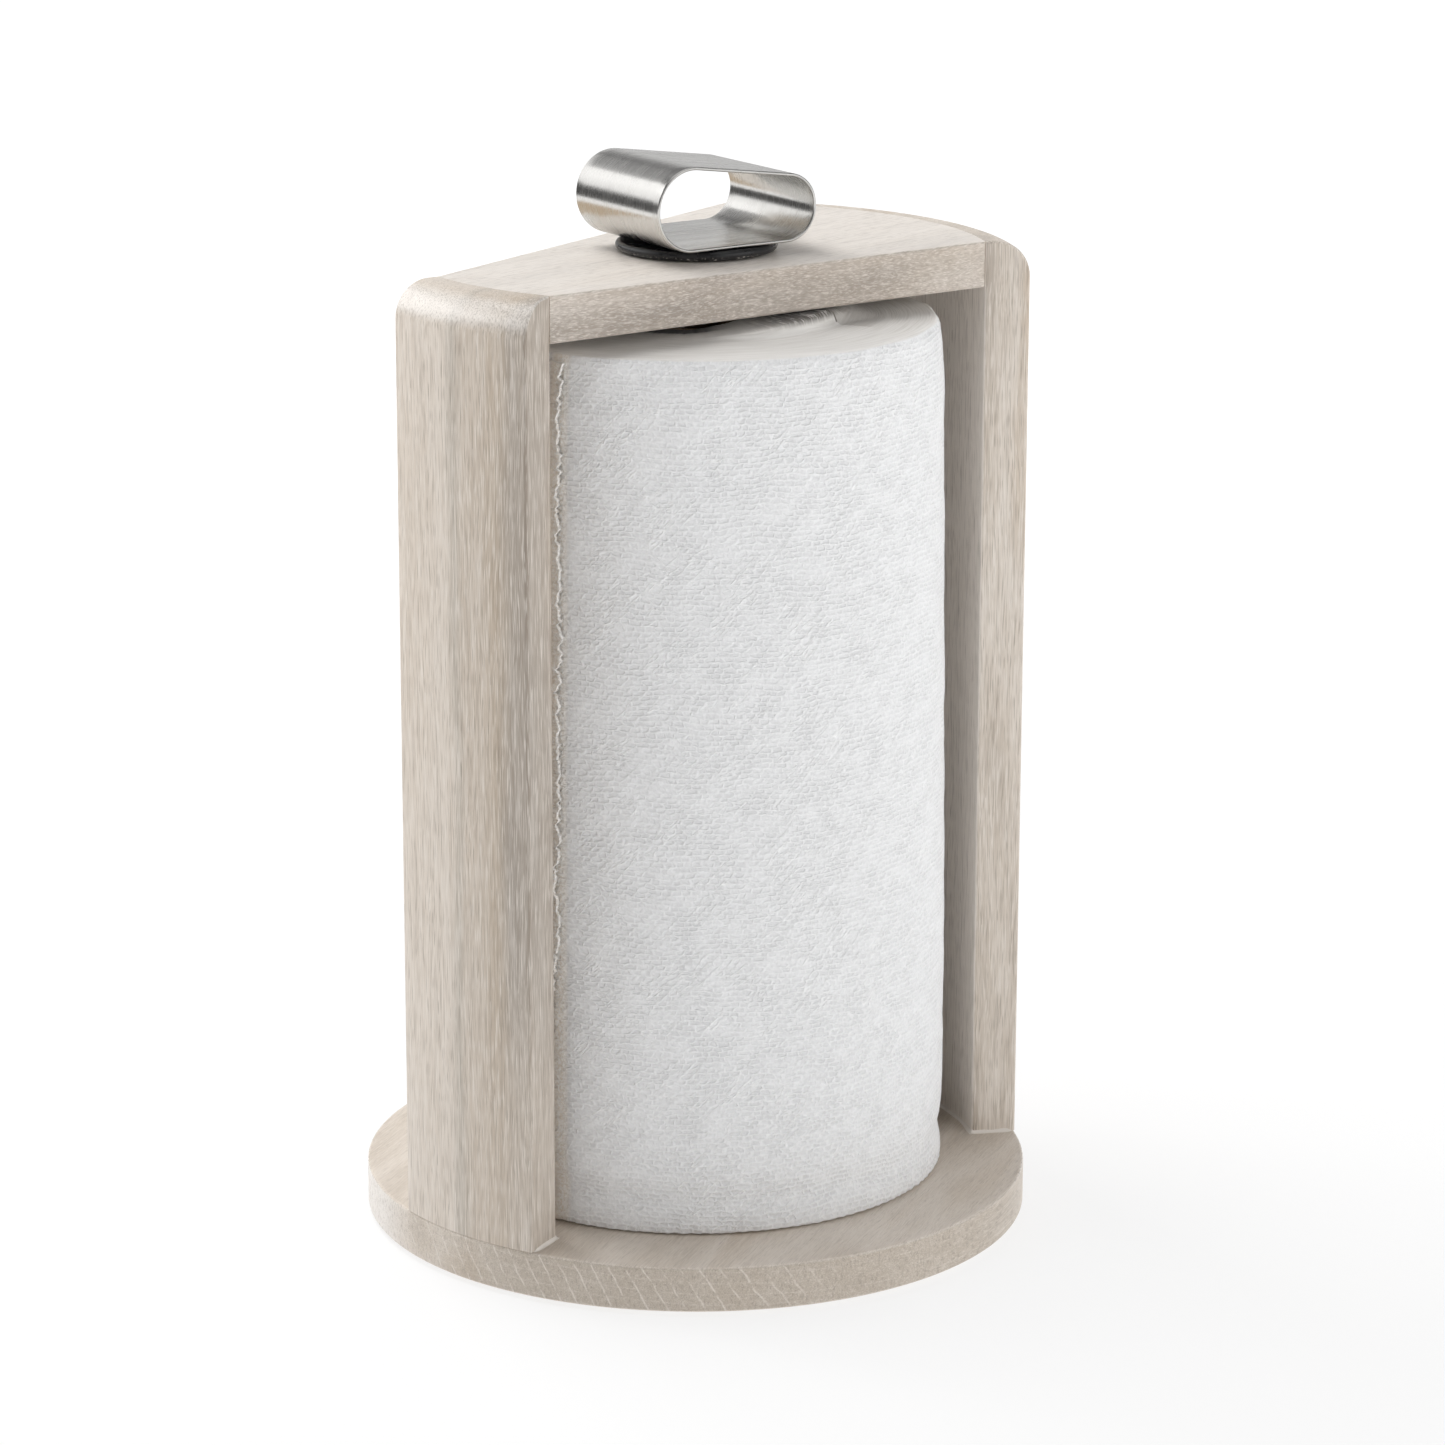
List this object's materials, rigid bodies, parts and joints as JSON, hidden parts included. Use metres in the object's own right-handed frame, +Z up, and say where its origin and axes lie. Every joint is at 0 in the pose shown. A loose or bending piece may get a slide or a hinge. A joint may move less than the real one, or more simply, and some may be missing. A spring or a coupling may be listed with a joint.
{
  "type": "paper towel holder",
  "caption": "Countertop paper towel holder: round wooden base, curved uprights, wedge-shaped top board, and a lift-out steel spindle with an oval loop handle, holding a paper roll.",
  "frame": {"origin": "centre of the round base, at the level of the surface that its feet stand on", "axes": "+Z up along the spindle; +X towards the wide upright and -X towards the narrow one; the holder is open towards -Y and +Y"},
  "size_m": [0.19, 0.19, 0.3051],
  "materials": {
    "limed_wood": "satin",
    "dowel_wood": "matte",
    "brushed_steel": "satin",
    "zinc_steel": "satin",
    "black_rubber": "satin",
    "nylon": "matte",
    "towel_paper": "matte",
    "core_card": "matte"
  },
  "bodies": {
    "root": {"base_disc": "limed_wood", "narrow_upright": "limed_wood", "wide_upright": "limed_wood", "top_board": "limed_wood", "board_dowel_1": "dowel_wood", "board_dowel_2": "dowel_wood", "board_dowel_3": "dowel_wood", "board_dowel_4": "dowel_wood", "board_dowel_5": "dowel_wood", "upright_screw_1": "zinc_steel", "upright_screw_2": "zinc_steel", "upright_screw_3": "zinc_steel", "upright_screw_4": "zinc_steel", "upright_screw_5": "zinc_steel", "foot_1": "black_rubber", "foot_2": "black_rubber", "foot_3": "black_rubber", "foot_4": "black_rubber", "board_bush": "nylon", "base_socket": "nylon"},
    "washer": {"spindle_washer": "black_rubber"},
    "spindle": {"handle_sleeve": "brushed_steel", "handle_stud": "zinc_steel", "spindle_rod": "brushed_steel", "rod_plug": "zinc_steel", "rod_tip": "nylon"},
    "roll": {"paper_roll": "towel_paper", "roll_core": "core_card"}
  },
  "joints": [
    {"name": "spindle_lift", "type": "slide", "parent": "root", "child": "washer", "axis": [0, 0, 1], "range_m": [0, 0.275]},
    {"name": "handle_spin", "type": "hinge", "parent": "washer", "child": "spindle", "pos_m": [0, 0, 0.28], "axis": [0, 0, 1], "continuous": true},
    {"name": "roll_spin", "type": "hinge", "parent": "root", "child": "roll", "pos_m": [0, 0, 0.0146], "axis": [0, 0, 1], "continuous": true}
  ]
}
